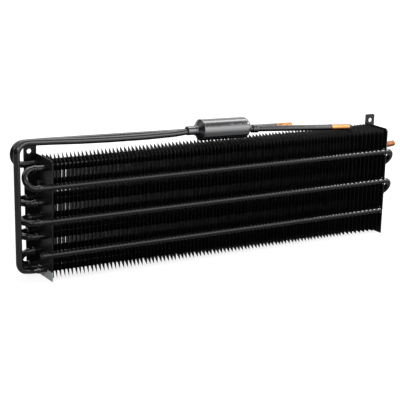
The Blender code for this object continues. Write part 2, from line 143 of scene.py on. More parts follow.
# Smoothness of round forms
TUBE_SIDES = 28
FINE_SIDES = 36
VESSEL_SIDES = 64
COLLAR_SIDES = 12
BEND_STEP = math.radians(6)
U_STATIONS = 31

# Colours and gloss that the paints share
DUST_COLOUR = (0.17, 0.17, 0.165, 1)
BARE_METAL = (0.50, 0.53, 0.51, 1)
# Lighter grey near the fins' tops: painted light standing in for the overhead lamp
TOP_LIGHT_COLOUR = (0.045, 0.045, 0.045, 1)
DUSTY_ROUGHNESS = 0.75
COAT_ROUGHNESS = 0.12

# Camera fitted to the view
CAMERA_PLACE = (-1.0278, -1.6129, 0.5784)
CAMERA_YAW = math.radians(31.63)
CAMERA_PITCH = math.radians(14.56)
CAMERA_ROLL = math.radians(1.86)
CAMERA_LENS = 113.8

# Brightness of the surroundings in mirrors, where the camera itself sees white. The sky's bands are (place on
# the half turn from the front horizon over the zenith to the back, brightness)
FLOOR_IN_MIRRORS = 2.0
FLOOR_ELSEWHERE = 0.08
SKY_IN_MIRRORS = 3.6
SKY_BANDS = ((0.0, 0.75), (0.10, 1.0), (0.16, 0.9), (0.28, 0.06), (0.38, 0.10), (0.46, 0.20), (0.56, 0.46),
             (0.64, 0.38), (0.72, 0.26), (1.0, 0.18))
DIM_SIDE = 0.02
FILL = 0.30
FLOOR_HALF = 30.0
FLOOR_DROP = 0.0004

# Lamps: name, place, target, width, height, watts
LAMPS = (
    ("overhead", (0.6, 0.28, 1.3), (0.6, 0.2, 0.0), 2.0, 0.45, 9.0),
    ("high_right", (1.50, -0.62, 1.25), (0.2, 0.0, 0.15), 0.8, 0.32, 13.0),
    ("front_left", (-1.6, -1.6, 1.2), (0.0, 0.0, 0.1), 0.5, 0.5, 11.0),
)


def place(row, level):
    """(y, z) of a tube. Level 0 is the lowest: rows 1 and 3 have three levels, rows 2 and 4 have four."""
    lift = TUBE_STEP / 2 if row % 2 else 0.0
    return FRONT + FRONT_INSET + (row - 1) * ROW_STEP, END_MARGIN + lift + level * TUBE_STEP


def at(x, y, z):
    """A point given from the left plate's outer face, the coil's front and the floor."""
    return np.array((LEFT_OUTER + x, FRONT + y, z))


def unit(vectors):
    return vectors / np.linalg.norm(vectors, axis=-1, keepdims=True)


# Shapes as arrays of points and faces

def grid_faces(rows, columns, closed=False):
    """Quads between the neighbours of a grid of rows x columns points. A closed grid joins its last column to
    its first."""
    row = np.arange(rows - 1)[:, None]
    column = np.arange(columns if closed else columns - 1)[None, :]
    after = (column + 1) % columns
    near, far = row * columns, (row + 1) * columns
    quads = (near + column, near + after, far + after, far + column)
    return np.stack(np.broadcast_arrays(*quads), -1).reshape(-1, 4).tolist()


def route(*corners):
    """Points and headings through (point, radius) corners, in the plane or in space. A corner reached on
    heading d turns by t along start + d r sin(a) + w r (1 - cos(a)), with a from 0 to t and w square to d on
    its inside."""
    points = np.array([point for point, radius in corners], float)
    radii = [radius for point, radius in corners]
    legs = unit(np.diff(points, axis=0))
    spots, headings = [points[:1]], [legs[:1]]
    for corner, radius, d, after in zip(points[1:-1], radii[1:-1], legs, legs[1:]):
        turn = math.acos(min(1.0, float(d @ after)))
        w = unit(after - d * (d @ after))
        a = np.linspace(0, turn, max(2, math.ceil(turn / BEND_STEP) + 1))[:, None]
        start = corner - d * radius * math.tan(turn / 2)
        spots.append(start + radius * (d * np.sin(a) + w * (1 - np.cos(a))))
        headings.append(d * np.cos(a) + w * np.sin(a))
    return np.concatenate(spots + [points[-1:]]), np.concatenate(headings + [legs[-1:]])


def outline(*corners):
    """The points of a route, for the (along, radius) profile of a turned shape."""
    return route(*corners)[0]


def bar(spots, headings, radii, side_axis=(0.0, 1.0, 0.0), sides=TUBE_SIDES):
    """A round bar: spot + radius (cos(a) up + sin(a) across), with rings along the line and angles a round
    it. Each end is closed by a flat disc."""
    spots, headings = np.asarray(spots, float), np.asarray(headings, float)
    radii = np.broadcast_to(np.asarray(radii, float), len(spots))
    across = unit(np.cross(headings, side_axis))
    up = np.cross(across, headings)
    a = np.linspace(0, 2 * math.pi, sides, endpoint=False)[None, :, None]
    ring = np.cos(a) * up[:, None] + np.sin(a) * across[:, None]
    points = (spots[:, None] + radii[:, None, None] * ring).reshape(-1, 3)
    first = list(range(sides))[::-1]
    last = list(range(len(points) - sides, len(points)))
    return points, grid_faces(len(spots), sides, True) + [first, last]


def turned(profile, start, heading, sides=TUBE_SIDES):
    """A turned shape: the (along, radius) profile goes round the line from start along heading."""
    profile = np.asarray(profile, float)
    heading = unit(np.asarray(heading, float))
    spots = np.asarray(start, float) + profile[:, :1] * heading
    return bar(spots, np.broadcast_to(heading, spots.shape), profile[:, 1], sides=sides)


def joined(shapes):
    """Several shapes of quads as one, with the later ones' faces counted on."""
    all_points, all_faces = zip(*shapes)
    starts = np.cumsum([0] + [len(points) for points in all_points])
    counted = [faces + start for faces, start in zip(all_faces, starts)]
    return np.concatenate(all_points), np.concatenate(counted).tolist()


def piece(name, shape, finish, replaced=(), sharp=35):
    """Puts a shape into a named mesh that rides on the coil's one body."""
    points, faces = shape
    mesh = bpy.data.meshes.new(name)
    mesh.from_pydata(np.asarray(points).tolist(), [], faces)
    mesh.materials.append(finish)
    mesh.shade_smooth()
    mesh.set_sharp_from_angle(angle=math.radians(sharp))
    made = bpy.data.objects.new(name, mesh)
    bpy.context.scene.collection.objects.link(made)
    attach(made, "root")
    if replaced:
        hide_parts(*replaced)
    return made


def outward(made):
    """Turns every closed shell of a mesh so that its faces point out."""
    shape = bmesh.new()
    shape.from_mesh(made.data)
    bmesh.ops.recalc_face_normals(shape, faces=shape.faces)
    shape.to_mesh(made.data)
    shape.free()


# Shader nodes

def add_node(tree, kind, values=None, **settings):
    """A node with its settings, and values put on its input sockets by name or number."""
    made = tree.nodes.new(kind)
    for name, value in settings.items():
        setattr(made, name, value)
    for name, value in (values or {}).items():
        plug(tree, value, made.inputs[name])
    return made


def plug(tree, value, socket):
    """Sets a socket to a value, or links another node's socket to it."""
    if isinstance(value, bpy.types.NodeSocket):
        tree.links.new(value, socket)
    else:
        socket.default_value = value


def math_node(tree, operation, *values):
    return add_node(tree, "ShaderNodeMath", dict(enumerate(values)), operation=operation).outputs[0]


def ramp_node(tree, value, start, end, low=0.0, high=1.0, kind="SMOOTHSTEP"):
    """A step of a socket: low before start, high after end."""
    values = {"Value": value, "From Min": start, "From Max": end, "To Min": low, "To Max": high}
    return add_node(tree, "ShaderNodeMapRange", values, interpolation_type=kind).outputs["Result"]


def mix_node(tree, factor, first, second, kind="FLOAT"):
    values = {"Factor": factor, "A": first, "B": second}
    return add_node(tree, "ShaderNodeMix", values, data_type=kind).outputs["Result"]


def noise_node(tree, where, scale, detail=2.0, roughness=0.5):
    values = {"Vector": where, "Scale": scale, "Detail": detail, "Roughness": roughness}
    return add_node(tree, "ShaderNodeTexNoise", values).outputs["Fac"]


def axis_node(tree, vector, axis):
    return add_node(tree, "ShaderNodeSeparateXYZ", {0: vector}).outputs[axis]


def object_place(tree):
    return add_node(tree, "ShaderNodeTexCoord").outputs["Object"]


def upward(tree, start, end):
    """How far a surface looks up: a step of its normal's z."""
    normal = add_node(tree, "ShaderNodeNewGeometry").outputs["Normal"]
    return ramp_node(tree, axis_node(tree, normal, "Z"), start, end)


def new_group(name, inputs, outputs):
    """A shader node group with named float or colour sockets; returns its tree and its two end nodes."""
    tree = bpy.data.node_groups.new(name, "ShaderNodeTree")
    for socket, kind, value in inputs:
        made = tree.interface.new_socket(name=socket, in_out="INPUT", socket_type="NodeSocket" + kind)
        made.default_value = value
    for socket, kind in outputs:
        tree.interface.new_socket(name=socket, in_out="OUTPUT", socket_type="NodeSocket" + kind)
    return tree, tree.nodes.new("NodeGroupInput"), tree.nodes.new("NodeGroupOutput")


def mask_group(name, setting, value, mask):
    """A group with one setting and one mask, which mask(tree, setting's socket) works out."""
    tree, start, end = new_group(name, [(setting, "Float", value)], [("Mask", "Float")])
    tree.links.new(mask(tree, start.outputs[setting]), end.inputs["Mask"])
    return tree


def group_node(tree, group, **values):
    made = tree.nodes.new("ShaderNodeGroup")
    made.node_tree = group
    for name, value in values.items():
        made.inputs[name.replace("_", " ")].default_value = value
    return made


# Effects that the paints share

def paint_film_group():
    """Sprayed paint: fine orange peel and slow waves as height, and mottled colour and roughness."""
    inputs = [("Colour", "Color", (0.02, 0.02, 0.02, 1)), ("Roughness", "Float", 0.3),
              ("Peel Scale", "Float", 900.0)]
    outputs = [("Colour", "Color"), ("Roughness", "Float"), ("Height", "Float")]
    tree, start, end = new_group("paint_film", inputs, outputs)
    where = object_place(tree)
    peel = noise_node(tree, where, start.outputs["Peel Scale"])
    waves = noise_node(tree, where, 120.0, 3.0)
    plug(tree, math_node(tree, "MULTIPLY_ADD", waves, 1.6, peel), end.inputs["Height"])
    mottle = ramp_node(tree, waves, 0.3, 0.7, 0.82, 1.2, "LINEAR")
    plug(tree, math_node(tree, "MULTIPLY", start.outputs["Roughness"], mottle), end.inputs["Roughness"])
    values = {0: start.outputs["Colour"], "Scale": mottle}
    tint = add_node(tree, "ShaderNodeVectorMath", values, operation="SCALE")
    plug(tree, tint.outputs["Vector"], end.inputs["Colour"])
    return tree


def dust_mask(tree, amount):
    """A thin veil of dust: strongest on faces that look up, and broken by noise."""
    speckle = noise_node(tree, object_place(tree), 420.0, 5.0, 0.7)
    broken = ramp_node(tree, speckle, 0.42, 0.75, kind="LINEAR")
    veil = math_node(tree, "MULTIPLY", upward(tree, 0.1, 1.0), broken)
    return math_node(tree, "MULTIPLY", veil, amount)


def upper_gloss_mask(tree, amount):
    """Wetter paint on the upper side, where it pooled."""
    return math_node(tree, "MULTIPLY", upward(tree, 0.35, 0.60), amount)


def painted_top_light_mask(tree, height):
    """Painted light near the top of the fins, a lighter grey that stands in for the overhead lamp reaching
    down between them: it sets in over 8 mm above a height.
    """
    above = math_node(tree, "SUBTRACT", axis_node(tree, object_place(tree), "Z"), height)
    return ramp_node(tree, above, 0.0, 0.008)


def missed_paint_mask(tree, height):
    """Bare metal that the spray missed: 1 below a height, with a ragged edge."""
    where = object_place(tree)
    edge = math_node(tree, "MULTIPLY_ADD", noise_node(tree, where, 300.0), 0.004, height)
    below = math_node(tree, "SUBTRACT", edge, axis_node(tree, where, "Z"))
    return ramp_node(tree, below, 0.0015, 0.0030, kind="LINEAR")


PAINT_FILM = paint_film_group()
DUST = mask_group("settled_dust", "Amount", 0.3, dust_mask)
MISSED_PAINT = mask_group("missed_paint", "Height", 0.01, missed_paint_mask)
# The fins' lighter tops are painted light from the overhead lamp
TOP_LIGHT = mask_group("painted_top_light", "Height", 1.0, painted_top_light_mask)
UPPER_GLOSS = mask_group("upper_gloss", "Amount", 1.0, upper_gloss_mask)


# Materials

def principled(name):
    """A new material, its node tree and its Principled BSDF."""
    made = bpy.data.materials.new(name)
    made.use_nodes = True
    return made, made.node_tree, made.node_tree.nodes["Principled BSDF"]


def paint(name, colour, roughness, specular, peel_scale, peel_depth, coat=0.0, dust=0.10, bare_below=0.0,
          top_light_above=1.0):
    """Black paint: film colour, gloss and orange peel, with a veil of dust that lightens and dulls it, pale
    bare metal below a height, and above another height a lighter grey that is painted light from overhead."""
    made, tree, shader = principled(name)
    film = group_node(tree, PAINT_FILM, Colour=(*colour, 1), Roughness=roughness, Peel_Scale=peel_scale)
    veil = group_node(tree, DUST, Amount=dust).outputs["Mask"]
    # Painted light: a lighter grey above a height, for the overhead lamp on the fins' tops
    top_light = group_node(tree, TOP_LIGHT, Height=top_light_above).outputs["Mask"]
    missed = group_node(tree, MISSED_PAINT, Height=bare_below).outputs["Mask"]
    shade = mix_node(tree, veil, film.outputs["Colour"], DUST_COLOUR, "RGBA")
    shade = mix_node(tree, top_light, shade, TOP_LIGHT_COLOUR, "RGBA")
    plug(tree, mix_node(tree, missed, shade, BARE_METAL, "RGBA"), shader.inputs["Base Color"])
    dull = mix_node(tree, veil, film.outputs["Roughness"], DUSTY_ROUGHNESS)
    plug(tree, dull, shader.inputs["Roughness"])
    values = {"Strength": 1.0, "Distance": peel_depth, "Height": film.outputs["Height"]}
    plug(tree, add_node(tree, "ShaderNodeBump", values).outputs["Normal"], shader.inputs["Normal"])
    shader.inputs["Specular IOR Level"].default_value = specular
    shader.inputs["Coat Weight"].default_value = coat
    shader.inputs["Coat Roughness"].default_value = COAT_ROUGHNESS
    return made


def wet_upper_side(finish):
    """Gives a paint a clear coat where the surface looks up."""
    tree = finish.node_tree
    gloss = group_node(tree, UPPER_GLOSS, Amount=1.0)
    plug(tree, gloss.outputs["Mask"], tree.nodes["Principled BSDF"].inputs["Coat Weight"])


def copper(name, bright, dark, roughness):
    """Bare copper: bright metal with tarnish clouds, and fine rings from cutting and cleaning."""
    made, tree, shader = principled(name)
    where = object_place(tree)
    ramp = add_node(tree, "ShaderNodeValToRGB", {"Fac": noise_node(tree, where, 130.0, 4.0, 0.6)})
    for element, position, colour in zip(ramp.color_ramp.elements, (0.32, 0.62), (dark, bright)):
        element.position = position
        element.color = (*colour, 1)
    plug(tree, ramp.outputs["Color"], shader.inputs["Base Color"])
    stretch = add_node(tree, "ShaderNodeMapping", {"Vector": where, "Scale": (2600.0, 160.0, 160.0)})
    rings = noise_node(tree, stretch.outputs["Vector"], 1.0)
    gloss = ramp_node(tree, rings, 0.25, 0.75, roughness * 0.8, roughness * 1.25, "LINEAR")
    plug(tree, gloss, shader.inputs["Roughness"])
    bump = add_node(tree, "ShaderNodeBump", {"Strength": 0.5, "Distance": 0.00004, "Height": rings})
    plug(tree, bump.outputs["Normal"], shader.inputs["Normal"])
    shader.inputs["Metallic"].default_value = 1.0
    return made


TUBE_PAINT = paint("tube_gloss_black", (0.006, 0.006, 0.007), roughness=0.24, specular=0.30,
                   peel_scale=1100.0, peel_depth=0.000010)
wet_upper_side(TUBE_PAINT)
LINE_PAINT = paint("line_gloss_black", (0.006, 0.006, 0.008), roughness=0.17, specular=0.55,
                   peel_scale=1100.0, peel_depth=0.000010, coat=0.2)
PLATE_PAINT = paint("plate_full_black", (0.005, 0.005, 0.005), roughness=0.34, specular=0.3,
                    peel_scale=800.0, peel_depth=0.000014)
BARE_FOOT_PAINT = paint("plate_satin_black", (0.005, 0.005, 0.005), roughness=0.34, specular=0.3,
                        peel_scale=800.0, peel_depth=0.000014, bare_below=0.014)
# Above 0.168 m the fins turn lighter grey: painted light from the overhead lamp
FIN_PAINT = paint("fin_black", (0.004, 0.004, 0.004), roughness=0.50, specular=0.15,
                  peel_scale=700.0, peel_depth=0.000012, dust=0.12, bare_below=0.004, top_light_above=0.168)
VESSEL_PAINT = paint("vessel_gloss_black", (0.012, 0.013, 0.017), roughness=0.20, specular=1.0,
                     peel_scale=900.0, peel_depth=0.000016, coat=0.9)
RUBBER = paint("plug_dark_rubber", (0.020, 0.021, 0.026), roughness=0.55, specular=0.4,
               peel_scale=1500.0, peel_depth=0.000020, dust=0.2)
BRIGHT_COPPER = copper("bright_copper", (0.42, 0.20, 0.065), (0.27, 0.11, 0.035), roughness=0.30)
DULL_COPPER = copper("dull_copper", (0.34, 0.13, 0.055), (0.14, 0.05, 0.03), roughness=0.42)


# Fins

def fin_lines():
    """Grid lines of one fin in y and z: its edges, three through each row and each level of tubes, and one
    between each two levels."""
    reach = TUBE_RADIUS + CLEARANCE
    rows = [place(row, 0)[0] for row in range(1, ROW_COUNT + 1)]
    y = np.unique(np.round(np.add.outer(rows, (-reach, 0, reach)).ravel(), 7))
    front, rear = rows[0] - FIN_EDGE, rows[-1] + FIN_EDGE
    y = np.concatenate([[front], y[(y > front) & (y < rear)], [rear]])
    levels = END_MARGIN + TUBE_STEP / 2 * np.arange(2 * TALL_ROW_TUBES - 1)
    z = np.add.outer(levels, (-reach, 0, reach)).ravel()
    between = (levels[1:] + levels[:-1]) / 2
    return y, np.unique(np.concatenate([[FIN_BOTTOM], z, between, [FIN_TOP]])), rows, levels


def fin_sheet():
    """One fin as a grid in (y, z) and which of its quads are kept. Round each tube the grid's ring of eight
    points, which all lie within reach of the tube in y and in z, is drawn onto a circle and the four quads
    inside it are left out, so that the front and rear rows lie in open notches."""
    y_lines, z_lines, rows, levels = fin_lines()
    y, z = np.meshgrid(y_lines, z_lines)
    keep = np.ones((len(z_lines) - 1, len(y_lines) - 1), bool)
    reach = TUBE_RADIUS + CLEARANCE
    for row, row_y in enumerate(rows, 1):
        for level in levels[row % 2::2]:
            i, j = np.argmin(abs(z_lines - level)), np.argmin(abs(y_lines - row_y))
            keep[i - 1:i + 1, max(j - 1, 0):j + 1] = False
            near = (abs(y - row_y) < 1.01 * reach) & (abs(z - level) < 1.01 * reach) & (abs(z - level) > 1e-6)
            corner = near & (abs(y - row_y) > 0.9 * reach)
            y[corner] = row_y + (y[corner] - row_y) * math.sqrt(0.5)
            z[corner] = level + (z[corner] - level) * math.sqrt(0.5)
            mouth = near & ((abs(y - y_lines[0]) < 1e-7) | (abs(y - y_lines[-1]) < 1e-7))
            z[mouth] += np.sign(z[mouth] - level) * NOTCH_TAPER
    return y, z, keep


def slab(y, z, keep, thickness):
    """The kept quads of a grid in (y, z) on two faces a thickness apart in x, and walls along every open
    edge."""
    rows, columns = y.shape
    number = np.arange(rows * columns).reshape(rows, columns)
    corners = np.stack([number[:-1, :-1], number[:-1, 1:], number[1:, 1:], number[1:, :-1]], -1)
    padded = np.pad(keep, 1)
    neighbours = (padded[:-2, 1:-1], padded[1:-1, 2:], padded[2:, 1:-1], padded[1:-1, :-2])
    walls = []
    for side, beside in enumerate(neighbours):
        start, end = corners[keep & ~beside][:, [side, (side + 1) % 4]].T
        walls.append(np.stack([end, start, start + rows * columns, end + rows * columns], -1))
    near = corners[keep][:, ::-1]
    far = corners[keep] + rows * columns
    faces = np.concatenate([near, far] + walls)
    used, faces = np.unique(faces, return_inverse=True)
    flat = np.stack([np.zeros(y.size), y.ravel(), z.ravel()], -1)
    points = np.concatenate([flat - (thickness / 2, 0, 0), flat + (thickness / 2, 0, 0)])[used]
    return points, faces.reshape(-1, 4)


def leaned(x, y):
    """x with the fins' slant in plan: x + shift + lean (y - rear). Beside the left plate the lean is less, so
    that the front edges lie squeezed against the plate, and it fades out toward the right plate."""
    rear = FRONT + FRONT_INSET + (ROW_COUNT - 1) * ROW_STEP + FIN_EDGE
    from_left, from_right = x - LEFT_INNER, RIGHT_INNER - x
    shift = REAR_SHIFT * np.minimum(1.0, from_right / LEAN_FADE_RIGHT)
    room = (1 - SQUEEZED) * from_left + shift
    slant = np.minimum(FIN_LEAN, room / (rear - FRONT))
    slant = np.minimum(slant, FIN_LEAN * from_right / LEAN_FADE_RIGHT)
    return x + shift + slant * (y - rear)


def fin_places():
    """The x of every fin before it leans, as a column."""
    return LEFT_INNER + FIN_PITCH * (1 + np.arange(FIN_COUNT)[:, None])


def repeated(points, faces, x):
    """A shape drawn once for each row of x, which holds that copy's x coordinates."""
    spread = np.stack(np.broadcast_arrays(leaned(x, points[:, 1]), points[:, 1], points[:, 2]), -1)
    numbers = faces + len(points) * np.arange(len(x))[:, None, None]
    return spread.reshape(-1, 3), numbers.reshape(-1, faces.shape[1])


def fins():
    """All fins: the slab repeated at the pitch. Each bows a little by slow waves in z and y."""
    points, faces = slab(*fin_sheet(), FIN_THICKNESS)
    random = np.random.default_rng(7)
    middle = (FIN_TOP + FIN_BOTTOM) / 2
    span = (FIN_TOP - FIN_BOTTOM) / 2
    sway = random.normal(0, FIN_SWAY, (4, FIN_COUNT, 1))
    height = (points[None, :, 2] - middle) / span
    depth = points[None, :, 1] / (FIN_EDGE + ROW_STEP * (ROW_COUNT - 1) / 2)
    bow = sway[0] * height + sway[1] * np.cos(4 * height) + sway[2] * depth + sway[3] * depth * height
    x = fin_places() + points[:, 0] + bow
    shape = joined([repeated(points, faces, x)])
    piece("fins", shape, FIN_PAINT, ("fin_pack",), 30)


def collar_line(row):
    """The (y, z) line of a fin's collar round a tube at (0, 0): round for the middle rows, and a hook that
    snaps round the tube and opens at the fin's edge, with flared lips, for the front and rear rows."""
    radius = TUBE_RADIUS + COLLAR_GAP
    if row in ROUND_COLLAR_ROWS:
        a = np.linspace(0, 2 * math.pi, COLLAR_SIDES + 1)[:-1, None]
        return np.concatenate([np.cos(a), np.sin(a)], 1) * radius
    toward = -1 if row == 1 else 1
    a = np.linspace(-HOOK_ANGLE, HOOK_ANGLE, COLLAR_SIDES)
    bend = np.stack([-toward * np.cos(a), np.sin(a)], -1) * radius
    lip = np.array([[toward * (FIN_EDGE - back), radius - drop] for back, drop in HOOK_LIP])
    lower = lip * (1, -1)
    return np.concatenate([lower, bend, lip[::-1]])


def collar(row):
    """One collar round a tube at (0, 0), as points and quads: its line and one a wall outside it, drawn out
    along x, and a hook's two ends."""
    line = collar_line(row)
    count = len(line)
    is_round = row in ROUND_COLLAR_ROWS
    along = np.roll(line, -1, 0) - np.roll(line, 1, 0)
    if not is_round:
        along[[0, -1]] = line[1] - line[0], line[-1] - line[-2]
    normal = unit(np.stack([along[:, 1], -along[:, 0]], -1))
    if np.sum(normal * line) < 0:
        normal = -normal
    outer = line + normal * COLLAR_THICKNESS
    drawn = np.broadcast_to([-COLLAR_LENGTH, -COLLAR_LENGTH, 0.0, 0.0], (count, 4))[..., None]
    points = np.concatenate([drawn, np.stack([line, outer, outer, line], 1)], -1).reshape(-1, 3)
    start = np.arange(count if is_round else count - 1)[:, None]
    side = np.arange(4)
    near, far = 4 * start, 4 * ((start + 1) % count)
    beside = (side + 1) % 4
    quads = np.stack([near + side, near + beside, far + beside, far + side], -1).reshape(-1, 4)
    if not is_round:
        ends = np.array([[3, 2, 1, 0], [0, 1, 2, 3]]) + [[0], [4 * (count - 1)]]
        quads = np.concatenate([quads, ends])
    return points, quads


def collars():
    """The collars of every fin round every tube, each slipped a little along it."""
    random = np.random.default_rng(11)
    shapes = []
    for row in range(1, ROW_COUNT + 1):
        points, quads = collar(row)
        for level in range(TALL_ROW_TUBES - row % 2):
            placed = points + (0, *place(row, level))
            x = fin_places() + placed[:, 0] + random.normal(0, COLLAR_SLIP, (FIN_COUNT, 1))
            shapes.append(repeated(placed, quads, x))
    outward(piece("fin_collars", joined(shapes), FIN_PAINT, (), 30))


# Tubes

def u_radius(first, second):
    return np.linalg.norm(np.subtract(second, first)) / 2


def u_turn(first, second, direction, start_x, turn_x, end_x, distances=None):
    """A U of tube that leaves along x from start_x, turns round a half circle past turn_x and comes back to
    end_x. At distance s, x = min(s, leg) + R sin(a) - max(s - leg - pi R, 0), sideways = R (1 - cos(a))."""
    radius = u_radius(first, second)
    toward = np.concatenate([[0.0], unit(np.subtract(second, first))])
    out = np.array([direction, 0.0, 0.0])
    leg, back = abs(turn_x - start_x), abs(turn_x - end_x)
    if distances is None:
        arc = leg + np.linspace(0, math.pi * radius, U_STATIONS)
        distances = np.concatenate([[0.0], arc, [leg + math.pi * radius + back]])
    s = np.asarray(distances, float)[:, None]
    a = np.clip((s - leg) / radius, 0, math.pi)
    past = np.maximum(s - leg - math.pi * radius, 0)
    spots = np.array([start_x, *first]) + out * (np.minimum(s, leg) + radius * np.sin(a) - past)
    spots = spots + toward * radius * (1 - np.cos(a))
    return spots, out * np.cos(a) + toward * np.sin(a), np.cross(out, toward)


def hairpins():
    """Six full-length U tubes from the right, whose legs pass through all fins and stand out at the left."""
    reach = {name: LEFT_OUTER - standoff + BELL_LENGTH + BELL_SHOULDER - LEG_IN_BELL
             for name, standoff in BEND_STANDOFFS.items()}
    inside = LEFT_INNER + LEG_INSIDE_PLATE
    joint = LEFT_OUTER - SUCTION_JOINT - LEG_IN_BELL
    table = [
        ("hairpin_front_top", place(1, 2), place(2, 2), reach["top"], reach["second"]),
        ("hairpin_front_middle", place(1, 1), place(2, 1), reach["third"], reach["fourth"]),
        ("hairpin_rear_top", place(4, 3), place(2, 3), inside, reach["top"]),
        ("hairpin_rear_second", place(4, 2), place(3, 1), reach["second"], reach["third"]),
        ("hairpin_rear_third", place(4, 1), place(3, 0), reach["fourth"], reach["low"]),
        ("hairpin_rear_low", place(4, 0), place(2, 0), reach["low"], joint),
    ]
    turn_x = RIGHT_OUTER + HAIRPIN_STANDOFF
    for name, first, second, start_x, end_x in table:
        spots, headings, side = u_turn(first, second, 1.0, start_x, turn_x, end_x)
        piece(name + "_tube", bar(spots, headings, TUBE_RADIUS, side), TUBE_PAINT, (name,))


def bell_profile():
    """(along, radius) of a belled joint from its braze fillet to the plain tube, with eased edges."""
    return outline(
        ((-BRAZE_LENGTH, TUBE_RADIUS + 0.00003), 0),
        ((-0.0003, TUBE_RADIUS + 0.0002), 0.0006),
        ((0.0, BELL_RADIUS - 0.0002), 0.0002),
        ((0.0006, BELL_RADIUS), 0.0004),
        ((BELL_LENGTH, BELL_RADIUS), 0.0009),
        ((BELL_LENGTH + BELL_SHOULDER, TUBE_RADIUS), 0.0009),
        ((BELL_LENGTH + BELL_SHOULDER + 0.001, TUBE_RADIUS), 0),
    )


def return_bends():
    """Five U bends at the left, each with a belled and brazed socket on both legs."""
    table = [
        ("return_bend_top", place(1, 2), place(2, 3), "top"),
        ("return_bend_second", place(2, 2), place(4, 2), "second"),
        ("return_bend_third", place(1, 1), place(3, 1), "third"),
        ("return_bend_fourth", place(2, 1), place(4, 1), "fourth"),
        ("return_bend_low", place(3, 0), place(4, 0), "low"),
    ]
    bell = bell_profile()
    head = bell[:, 0] + BRAZE_LENGTH
    for name, first, second, key in table:
        standoff = BEND_STANDOFFS[key]
        turn_x = LEFT_OUTER - standoff
        start_x = LEFT_OUTER - (standoff - BELL_LENGTH - BELL_SHOULDER) + BRAZE_LENGTH
        leg = abs(turn_x - start_x)
        total = leg + math.pi * u_radius(first, second) + leg
        arc = np.linspace(leg, total - leg, U_STATIONS)
        arc = arc[(arc > head[-1]) & (arc < total - head[-1])]
        distances = np.concatenate([head, arc, total - head[::-1]])
        radii = np.concatenate([bell[:, 1], np.full(len(arc), TUBE_RADIUS), bell[::-1, 1]])
        spots, headings, side = u_turn(first, second, -1.0, start_x, turn_x, start_x, distances)
        piece(name + "_tube", bar(spots, headings, radii, side), TUBE_PAINT, (name,))


def open_end(length, bore_depth):
    """(along, radius) of a tube end from its root: plain outside, eased lip, then back in along the bore."""
    bore = TUBE_RADIUS - TUBE_WALL
    return outline(((0, TUBE_RADIUS), 0), ((length, TUBE_RADIUS), 0.0003), ((length, bore), 0.0003),
                   ((length - bore_depth, bore), 0))


def eased_start(length):
    """(along, radius) of a plain tube whose first end has an eased edge."""
    return outline(((0, TUBE_RADIUS - 2 * EASED), 0), ((EASED, TUBE_RADIUS), EASED),
                   ((length, TUBE_RADIUS), 0))


def straight_tubes():
    """The lowest front tube, and the third row's spare tube with its bare copper right end."""
    y, z = place(1, 0)
    start = (LEFT_OUTER - FRONT_STUB, y, z)
    profile = eased_start(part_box("front_tube_low")[1].x - start[0])
    piece("front_tube_low_tube", turned(profile, start, (1, 0, 0)), TUBE_PAINT,
          ("front_tube_low",))
    y, z = place(3, 2)
    start = (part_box("spare_tube_left_end")[0].x, y, z)
    profile = eased_start(RIGHT_OUTER + SPARE_PAINTED - start[0])
    piece("spare_tube_run", turned(profile, start, (1, 0, 0)), TUBE_PAINT,
          ("spare_tube_left_end",))
    heading = np.array([math.cos(SPARE_RISE), 0.0, math.sin(SPARE_RISE)])
    root = (RIGHT_OUTER + SPARE_PAINTED + SEAM, y, z)
    bend = np.array([RIGHT_OUTER + SPARE_BEND, y, z])
    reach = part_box("spare_tube_copper_end")[1].x - bend[0]
    profile = open_end(reach / heading[0] - TUBE_RADIUS * math.tan(SPARE_RISE), BORE_DEPTH)[1:]
    spots = np.concatenate([[root, bend], bend + profile[:, :1] * heading])
    headings = np.concatenate([[(1.0, 0, 0), heading], np.broadcast_to(heading, (len(profile), 3))])
    radii = np.concatenate([[TUBE_RADIUS, TUBE_RADIUS], profile[:, 1]])
    piece("spare_copper_end", bar(spots, headings, radii, sides=FINE_SIDES), DULL_COPPER,
          ("spare_tube_copper_end",))


# Lines above the coil

def suction_line():
    """From the lowest second-row tube up the left side, then over the top into the accumulator's sleeve."""
    y, z = place(2, 0)
    y -= FRONT
    spots, headings = route(
        (at(-SUCTION_JOINT - BELL_LENGTH - BELL_SHOULDER, y, z), 0),
        (at(-0.021, y, z), 0.020),
        (at(-0.0451, RISER_Y, z + 0.0055), 0.015),
        (at(-0.04915, RISER_Y, 0.2058), 0.017),
        (at(0.0040, 0.0150, 0.2030), 0.300),
        (at(0.0520, 0.0171, 0.2000), 0.300),
        (at(0.1010, 0.0190, 0.1979), 0.300),
        (at(0.1600, VESSEL_Y, 0.1964), 0.200),
        (at(0.2100, VESSEL_Y, 0.1968), 0.100),
        (at(0.2407, VESSEL_Y, 0.1993), 0),
    )
    bell = bell_profile()
    out = np.array([-1.0, 0.0, 0.0])
    joint = at(-SUCTION_JOINT, y, z) + bell[:, :1] * out
    spots = np.concatenate([joint, spots[1:]])
    headings = np.concatenate([np.broadcast_to(out, joint.shape), headings[1:]])
    radii = np.concatenate([bell[:, 1], np.full(len(spots) - len(bell), TUBE_RADIUS)])
    piece("suction_line_tube", bar(spots, headings, radii, sides=FINE_SIDES), LINE_PAINT,
          ("suction_line",))


